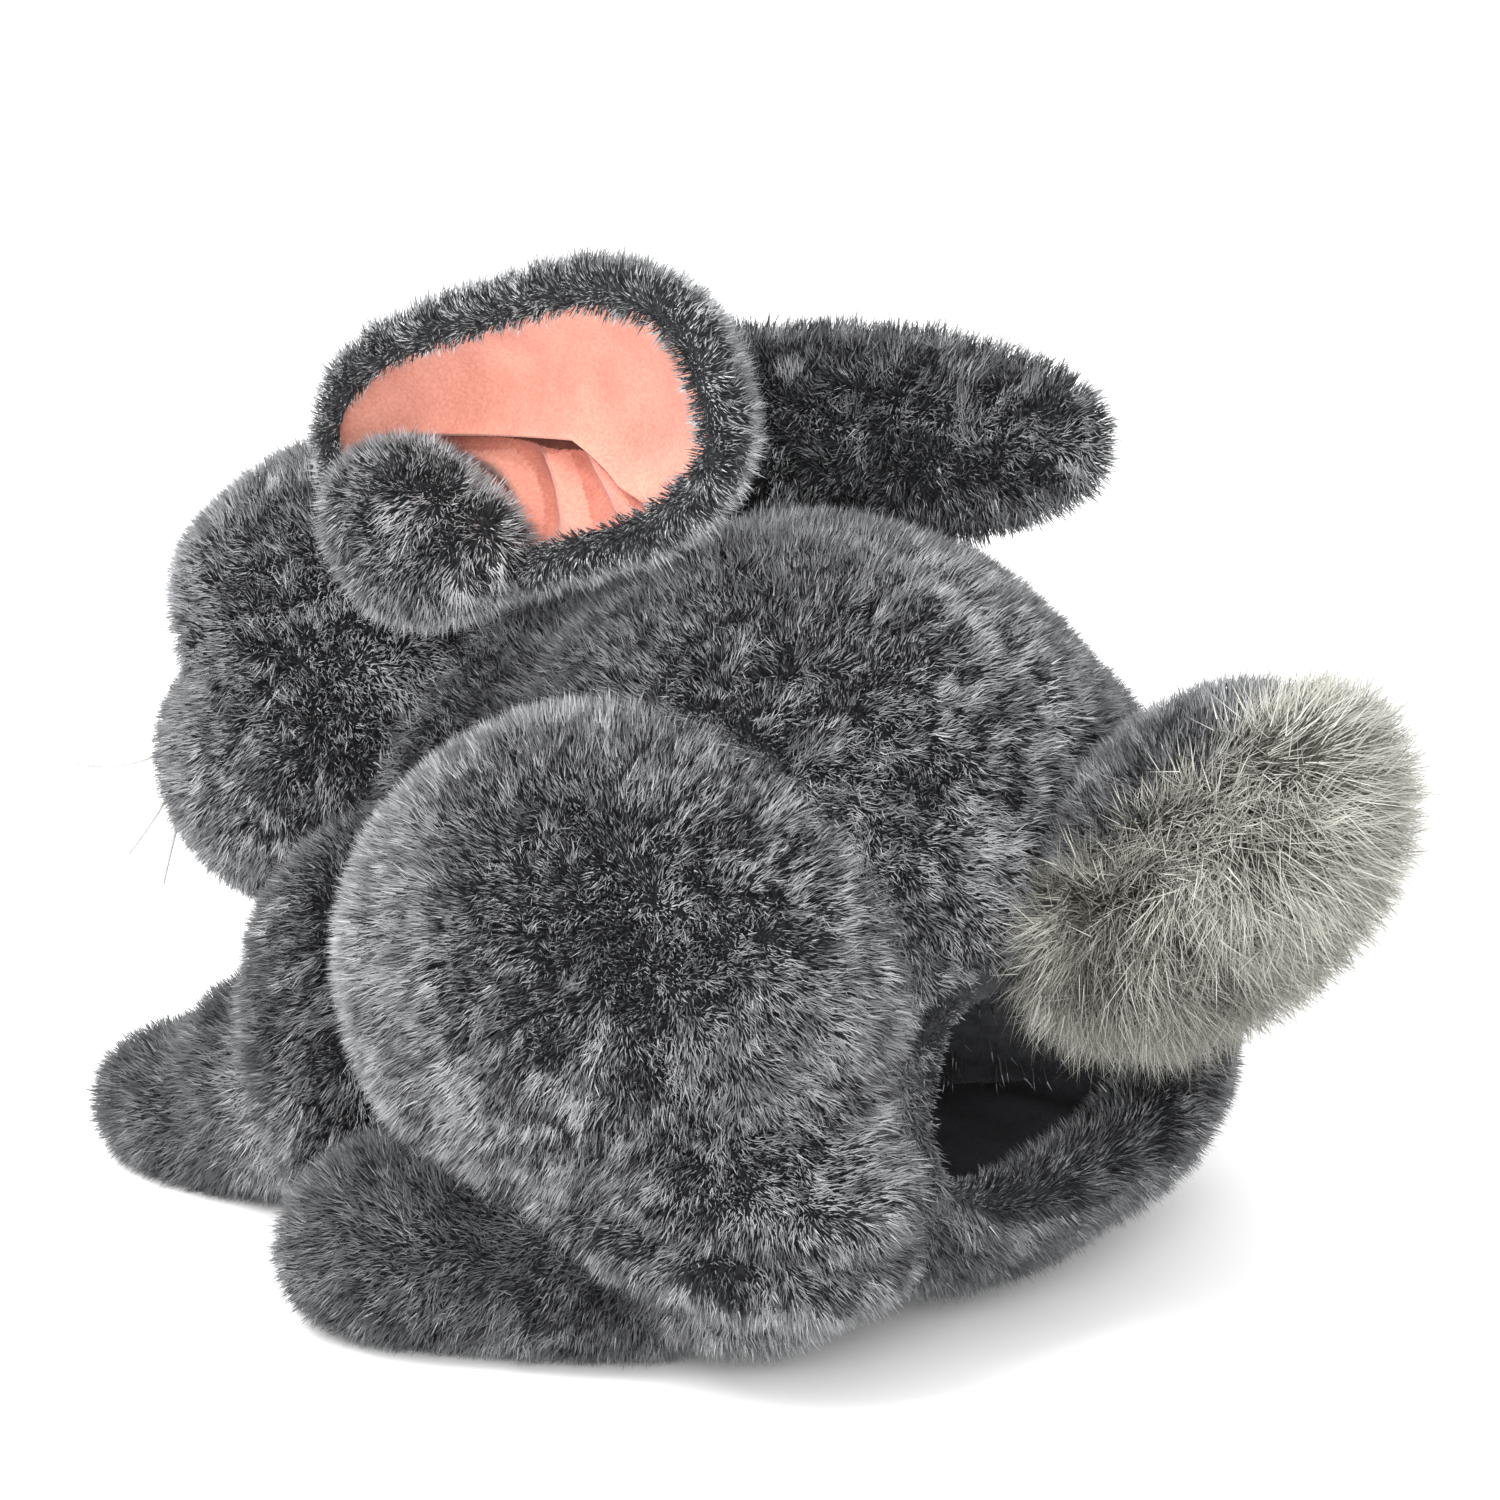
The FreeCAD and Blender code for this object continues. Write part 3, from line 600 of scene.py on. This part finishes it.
class Ear:
    """One ear's own frame: along it, across it, and out of its hollow."""

    def __init__(self, side):
        look = EARS[side]
        root, tip = np.array(look["root"], float), np.array(look["tip"], float)
        self.middle = (root + tip) / 2
        along = unit(tip - root)
        across = unit(np.cross(np.array(look["facing"], float), along))
        self.axes = np.stack([along, across, np.cross(along, across)])
        self.half_length, self.half_width = look["half_length"], look["half_width"]
        self.depth, self.square, self.pleated = look["depth"], look["square"], look["pleated"]

    def at(self, t, w, f):
        return self.middle + np.stack([t, w, f], axis=-1) @ self.axes

    def local(self, p):
        return (p - self.middle) @ self.axes.T

    def rim(self, angle, less):
        """The outline of the leaf, made smaller by a margin."""
        power = 2 / self.square
        c, s = np.cos(angle), np.sin(angle)
        t = np.sign(c) * np.abs(c) ** power * (self.half_length - less)
        narrow = 1 - 0.07 * smooth_step(0.2, 1.0, -c) - 0.09 * smooth_step(0.2, 1.0, c)
        w = np.sign(s) * np.abs(s) ** power * (self.half_width - less) * narrow
        return t, w

    def edge(self, t, w):
        """How far a place is above the fold that overhangs the lower part of the hollow."""
        t, w = t / self.half_length, w / self.half_width
        return w + 0.16 + np.maximum(0.53 * t, 1.8 * t - 0.08)

    def pleat(self, t, w):
        """The waves of the pleats gathered under the fold, from -1 to 1."""
        return np.sin(0.40 * t + 0.26 * w + 0.9 + 0.9 * np.sin(0.11 * t - 0.1 * w))

    def crease(self, t, w, f):
        """The overhanging fold along the hollow, and the pleats under it."""
        line = self.edge(t, w)
        share = np.hypot(t / self.half_length, w / self.half_width)
        along = smooth_step(0.95, 0.6, share)
        fold = 8 * along * smooth_step(-0.03, 0.06, line) * np.exp(-np.maximum(line, 0) / 0.25)
        pleats = 2.6 * along * smooth_step(0, -0.2, line) * self.pleat(t, w)
        return f + (fold + pleats if self.pleated else 0.4 * fold)

    def painted_fold_shade(self, p):
        """Painted shade on the velour: 2 for the painted shadow where the fold overhangs, 1 for
        painted shade in the pleat valleys and just under the fold, and 0 elsewhere.
        """
        t, w, _ = self.local(p).T
        under = (self.edge(t, w) < -0.01) & (np.abs(t) < 0.6 * self.half_length)
        pleat_shade = (self.pleat(t, w) < -0.35) | (self.edge(t, w) > -0.12)
        fold_shadow = self.edge(t, w) > -0.06 - 0.05 * np.cos(0.1 * t)
        return np.where(under & pleat_shade & self.pleated, 1 + fold_shadow, 0)

    def angles(self):
        """Angles that step evenly round the rim."""
        fine = np.linspace(0, 2 * math.pi, 4001)
        t, w = self.rim(fine, 0)
        gone = np.concatenate([[0], np.cumsum(np.hypot(np.diff(t), np.diff(w)))])
        return np.interp(np.arange(EAR_ROUND) / EAR_ROUND * gone[-1], gone, fine)

    def shell(self):
        """The fur side: the back, then round the rolled rim to the edge of the velour."""
        angle = self.angles()
        t0, w0 = self.rim(angle, EAR_RIM)
        outward = unit(np.stack([t0 / self.half_length ** 2, w0 / self.half_width ** 2], axis=1))
        rings = []
        for share in np.sin(np.linspace(0.04, 1, 16) * math.pi / 2):
            f = -EAR_RIM - (self.depth - EAR_RIM) * (1 - share ** 2) ** 0.6
            rings.append((t0 * share, w0 * share, np.full(EAR_ROUND, f)))
        for beta in np.radians(np.linspace(-70, 150, 12)):
            rings.append((t0 + outward[:, 0] * EAR_RIM * math.cos(beta),
                          w0 + outward[:, 1] * EAR_RIM * math.cos(beta),
                          np.full(EAR_ROUND, EAR_RIM * math.sin(beta))))
        return self.net(rings)

    def hollow(self):
        """The velour side, from the middle of the hollow out to under the rim."""
        angle = self.angles()
        t0, w0 = self.rim(angle, EAR_RIM - 1)
        rings = []
        for share in np.linspace(0.03, 1, 60):
            f = 1.5 - (self.depth - 3) * (1 - share ** 2.4) ** 0.8
            t, w = t0 * share, w0 * share
            rings.append((t, w, self.crease(t, w, f)))
        return self.net(rings)

    def net(self, rings):
        """Joins rings of places into a net of triangles, closed at the middle."""
        places = np.concatenate([self.at(*ring) for ring in rings])
        places = np.concatenate([places, [places[:EAR_ROUND].mean(axis=0)]])
        hub = len(places) - 1
        faces = []
        k = np.arange(EAR_ROUND)
        after = (k + 1) % EAR_ROUND
        for r in range(len(rings) - 1):
            a, b = r * EAR_ROUND, (r + 1) * EAR_ROUND
            faces.append(np.stack([a + k, b + k, b + after], axis=1))
            faces.append(np.stack([a + k, b + after, a + after], axis=1))
        faces.append(np.stack([np.full(EAR_ROUND, hub), k, after], axis=1))
        return places, np.concatenate(faces)


def facing_out(points, faces, middle):
    """Turns the triangles over if they face the middle."""
    n = face_normals(points, faces)
    away = (points[faces].mean(axis=1) - middle)
    return faces[:, ::-1] if (n * away).sum() < 0 else faces


def build_ear(side, s):
    ear, look = Ear(side), EARS[side]
    body = f"ear_{side}"
    inside = ear.middle - 2 * ear.axes[2]
    points, faces = ear.shell()
    faces = facing_out(points, faces, inside)
    back = surface(f"ear_skin_{side}", points, faces, backing)
    velour_points, velour_faces = ear.hollow()
    velour_faces = facing_out(velour_points, velour_faces, ear.middle - 40 * ear.axes[2])
    # The velour takes painted shade in the pleats and under the fold, and a painted shadow where
    # the fold overhangs.
    velour = surface(f"ear_velour_{side}", velour_points, velour_faces, PINK, PINK_PAINTED_SHADE, PINK_PAINTED_SHADOW,
                     indices=ear.painted_fold_shade(velour_points[velour_faces].mean(axis=1)))
    for piece, node, name in ((back, f"ear_fur_{side}", "grey_plush"),
                              (velour, f"ear_lining_{side}", "pink_velour")):
        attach(piece, body)
        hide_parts(node)

    def comb(p):
        t, w, f = ear.local(p).T
        out = np.stack([0.9 + 0 * t, 0.9 * w / ear.half_width, 0.25 * f / EAR_RIM], axis=1)
        return out @ ear.axes

    def grows(p):
        return thinned(smooth_step(-8, -2, head_blob.depth(p)), 0.1)

    pile(f"ear_pile_{side}", points, faces, body, 61 + (s > 0), comb=comb, keep=grows,
         per_cm2=420, length=lambda p: 6.8 - 4.0 * smooth_step(-1, 3.5, ear.local(p)[:, 2]),
         lean=(10, 30), tone=look["tone"])
    if side == "left":
        build_lobe(ear, body)


def build_lobe(ear, body):
    """The ear's lower edge, rolled forward over the hollow near the root."""
    spin = ear.axes.T
    lobe = Blob(
        8,
        (ear.at(-38.0, -9.0, 7.0), (15, 10, 7), spin),
        (ear.at(-33.0, -20.0, 5.0), (19, 8.5, 7), spin),
    )
    points, faces = skin(lobe, ear.at(-35.0, -15.0, 6.0), 5, lambda p: 0.6 * grain(p, 14, 77))
    piece = surface("ear_lobe_skin_left", points, faces, backing)
    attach(piece, body)
    pile("ear_lobe_pile_left", points, faces, body, 67, length=6.5,
         comb=(0.3, 0.4, -0.3), tone=0.70)


# ---------------------------------------------------------------- tail

TAIL_ROOT = np.array([0.0, 97.0, 93.0])
TAIL_TURN = turn("X", 36) @ turn("Y", 32)   # rise, then the roll of its underside
TAIL_MIDDLE = TAIL_ROOT + TAIL_TURN @ np.array([0, 30.0, 0])


def build_tail():
    def place(x, y, z):
        return TAIL_MIDDLE + TAIL_TURN @ np.array([x, y, z], float)

    tail = Blob(
        8,
        (place(-2, -1, 4), (27, 36, 14.5), TAIL_TURN),
        (place(0, -3, -5), (22, 30, 13), TAIL_TURN),
    )
    points, faces = skin(tail, place(0, 0, -2), 5, lambda p: 0.6 * grain(p, 14, 15))
    piece = surface("tail_skin", points, faces, backing)
    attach(piece, "tail")
    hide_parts("tail_top_fur", "tail_under_fur", "tail_stuffing")

    def local(p):
        return (p - TAIL_MIDDLE) @ TAIL_TURN

    def under(p):
        """How far round to the underside a place is, in millimetres."""
        x, y, z = local(p).T
        return 0.41 * x + 0.06 * y - 0.91 * z + 2.0 * grain(p, 9, 16)

    def pale_share(p):
        return np.maximum(smooth_step(-13, -9, under(p)), smooth_step(30, 38, local(p)[:, 1]))

    def long(p):
        along = local(p)[:, 1]
        return 11 + 9 * smooth_step(-12, 2, under(p)) + 4 * smooth_step(10, 34, along)

    def comb(p):
        across = 1.3 * local(p)[:, 0] / 25
        back, down = np.full_like(across, 0.75), np.full_like(across, -0.6)
        return np.stack([across, back, down], axis=1) @ TAIL_TURN.T

    pile("tail_short_pile", points, faces, "tail", 71, keep=lambda p: 1 - pale_share(p),
         comb=comb, length=8.0, lean=(14, 34))
    pile("tail_long_pile", points, faces, "tail", 72, keep=pale_share, comb=comb,
         length=long, lean=(24, 50), per_cm2=480, tones=PALE_PILE, width=0.24, wild=0.34,
         tone=lambda p: 0.36 + 0.12 * smooth_step(-10, 35, local(p)[:, 1]))


# ---------------------------------------------------------------- hand opening

def oval(angle, grow, y):
    """A place on the oval of the hand opening, grown outwards by a margin."""
    c, s = np.cos(angle), np.sin(angle)
    across, up = (np.sign(v) * np.abs(v) ** (2 / MOUTH_POWER) for v in (c, s))
    return np.stack([(MOUTH_HALF[0] + grow) * across, np.full_like(angle, y),
                     MOUTH[2] + (MOUTH_HALF[1] + grow) * up], axis=-1)


def ring_net(rings, close_end=False):
    """Joins closed rings of places, each of the same length, into triangles."""
    size = len(rings[0])
    k = np.arange(size)
    after = (k + 1) % size
    faces = []
    for r in range(len(rings) - 1):
        a, b = r * size, (r + 1) * size
        faces.append(np.stack([a + k, b + k, b + after], axis=1))
        faces.append(np.stack([a + k, b + after, a + after], axis=1))
    points = np.concatenate(rings)
    if close_end:
        points = np.concatenate([points, [rings[-1].mean(axis=0)]])
        last = (len(rings) - 1) * size
        faces.append(np.stack([last + k, np.full(size, len(points) - 1), last + after], axis=1))
    return points, np.concatenate(faces)


HEM_RADIUS = 5.5
HEM_Y = 88.0
NEAR_SET_BACK = 6      # the left side of the opening lies this much further in
POUCH_END = -46        # the blind end of the lining's pouch


def set_back(angle):
    return NEAR_SET_BACK * smooth_step(-0.2, 0.9, np.cos(angle))


def build_opening():
    angle = np.linspace(0, 2 * math.pi, 160, endpoint=False)
    middle = oval(angle, HEM_RADIUS - 2.5 - 1.5 * np.cos(angle), HEM_Y)
    middle[:, 1] -= set_back(angle)
    outward = unit(oval(angle, 30, HEM_Y) - np.array([0, HEM_Y, MOUTH[2]]))
    rings = []
    for beta in np.linspace(0, 2 * math.pi, 20, endpoint=False):
        swell = HEM_RADIUS * (0.95 + 0.06 * np.sin(5 * angle) - 0.55 * np.cos(angle - 0.7))
        rings.append(middle + (outward * math.cos(beta)
                               + np.array([0, 1.0, 0]) * math.sin(beta)) * swell[:, None])
    points, faces = ring_net(rings + rings[:1])
    faces = faces % (len(rings) * len(angle))
    points = points[:len(rings) * len(angle)]
    hem_middle = middle[faces[:, 0] % len(angle)]
    if (face_normals(points, faces) * (points[faces].mean(axis=1) - hem_middle)).sum() < 0:
        faces = faces[:, ::-1]
    hem = surface("hem_roll", points, faces, backing)
    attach(hem, "torso")
    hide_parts("opening_hem")

    def outside(p):
        x, z = p[:, 0] / (MOUTH_HALF[0] + 1), (p[:, 2] - MOUTH[2]) / (MOUTH_HALF[1] + 1)
        inner = 0.75 * smooth_step(0.75, 0.35, x)
        return inner + (1 - inner) * smooth_step(0.95, 1.15, x ** 2 + z ** 2)

    def comb(p):
        return np.stack([p[:, 0] / 46, np.full(len(p), 0.5), (p[:, 2] - MOUTH[2]) / 25], axis=1)

    pile("hem_pile", points, faces, "torso", 81, keep=outside, comb=comb,
         length=lambda p: 2.5 + 3.7 * smooth_step(35, 0, p[:, 0]), tone=0.24)

    rings = []
    for y in np.linspace(HEM_Y + 2, POUCH_END, 60):
        ring = oval(angle, 2.0 - 3.0 * smooth_step(HEM_Y, 70, np.full_like(angle, y)), y)
        folds = 1.6 * np.sin(7 * angle + 0.03 * y) + 1.2 * np.sin(13 * angle - 0.05 * y)
        depth = smooth_step(HEM_Y + 1, 70, np.full_like(angle, y))
        ring -= outward * (depth * (2.0 + folds + 1.5 * grain(ring, 18, 18)))[:, None]
        ring[:, 1] -= set_back(angle) * (y > 60)
        rings.append(ring)
    points, faces = ring_net(rings, close_end=True)
    pouch = surface("lining_pouch", points, faces, lining)
    thick = pouch.modifiers.new("thickness", "SOLIDIFY")
    thick.thickness = 0.8 * MM
    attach(pouch, "torso")
    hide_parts("hand_lining")


# ---------------------------------------------------------------- face and what CAD keeps

def paint(node, made):
    """Gives a CAD node a finished material."""
    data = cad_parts[node]
    for entry in data.material_slots:
        entry.material = made


def build_face():
    middle = centre_of("nose") - HOME
    pad = Blob(3, (middle + (0, 1.5, 1), (8, 5, 4)), (middle + (0, 1.5, -3), (4, 4, 4)))
    points, faces = skin(pad, middle + (0, 1.5, 0), 5,
                         lambda p: -0.7 * np.exp(-(p[:, 0] / 0.8) ** 2))
    nose_cloth = cloth("nose_cloth", (128, 74, 68), (160, 98, 88), 3.0, roughness=0.8, sheen=0.3)
    nose = surface("nose_pad", points, faces, nose_cloth)
    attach(nose, "head")
    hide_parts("nose")

    eye = cloth("eye_plastic_brown", (20, 9, 5), (52, 27, 14), 5.0, bump=0.0, roughness=0.08,
                specular=0.6)
    washer = cloth("washer_plastic_grey", (188, 188, 184), (206, 206, 200), 4.0, bump=0.1,
                   roughness=0.5)
    thread = cloth("thread_black", (26, 24, 26), (48, 46, 48), 1.0, roughness=0.8)
    bristle = cloth("bristle_nylon", (150, 149, 145), (196, 195, 190), 6.0, bump=0.0,
                    roughness=0.35, specular=0.5)
    for side, _ in SIDES:
        paint(f"eye_{side}", eye)
        paint(f"eye_washer_{side}", washer)
        paint(f"whiskers_{side}", bristle)
        paint(f"foreleg_pocket_{side}", lining)
    paint("mouth_stitch", thread)
    paint("head_finger_pocket", lining)
    paint("neck_sleeve", lining)


# ---------------------------------------------------------------- stage and camera

def area_light(name, place, energy, size, aim):
    """A square soft light, with its place and size in metres and its energy in watts."""
    light = bpy.data.lights.new(name, "AREA")
    light.energy, light.size = energy, size
    lamp = bpy.data.objects.new(name, light)
    lamp.location = place
    lamp.rotation_euler = (Vector(aim) - Vector(place)).to_track_quat("-Z", "Y").to_euler()
    bpy.context.scene.collection.objects.link(lamp)


def build_stage():
    reach = 6.0   # metres from the middle of the floor to its edges
    mesh = bpy.data.meshes.new("floor")
    mesh.from_pydata([(-reach, -reach, 0), (reach, -reach, 0), (reach, reach, 0),
                      (-reach, reach, 0)], [], [(0, 1, 2, 3)])
    floor = bpy.data.objects.new("floor", mesh)
    mesh.materials.append(plain("floor_paint", (250, 250, 250), roughness=0.9, specular=0.1))
    bpy.context.scene.collection.objects.link(floor)

    world = bpy.data.worlds.new("studio")
    world.use_nodes = True
    world.node_tree.nodes["Background"].inputs[0].default_value = (1, 1, 1, 1)
    world.node_tree.nodes["Background"].inputs[1].default_value = 1.4
    bpy.context.scene.world = world
    bpy.context.scene.view_settings.view_transform = "Standard"
    area_light("key", (0.7, -0.5, 1.4), 24, 0.9, (0, 0, 0.08))
    area_light("fill", (1.1, 0.9, 0.6), 16, 1.0, (0, 0, 0.08))


CAMERA_TURN = 125     # azimuth, degrees
CAMERA_RISE = 18      # elevation, degrees
CAMERA_AWAY = 1.6     # metres
AIM = np.array([-16.9, -5.7, 105.7])
FRAME_WIDE = 0.3333   # metres across at the aim


def build_camera():
    azimuth, rise = math.radians(CAMERA_TURN), math.radians(CAMERA_RISE)
    back = Vector((math.sin(azimuth) * math.cos(rise), -math.cos(azimuth) * math.cos(rise),
                   math.sin(rise)))
    data = bpy.data.cameras.new("camera")
    data.sensor_width = 36
    data.lens = 36 * CAMERA_AWAY / FRAME_WIDE
    camera = bpy.data.objects.new("camera", data)
    camera.location = Vector((AIM + HOME) * MM) + back * CAMERA_AWAY
    camera.rotation_euler = back.to_track_quat("Z", "Y").to_euler()
    bpy.context.scene.collection.objects.link(camera)
    bpy.context.scene.camera = camera


build_camera()
build_torso()
for side_name, side_sign in SIDES:
    build_thigh(side_name, side_sign)
    build_foot(side_name, side_sign)
    build_arm(side_name, side_sign)
    build_ear(side_name, side_sign)
build_head()
build_tail()
build_opening()
build_face()
build_stage()
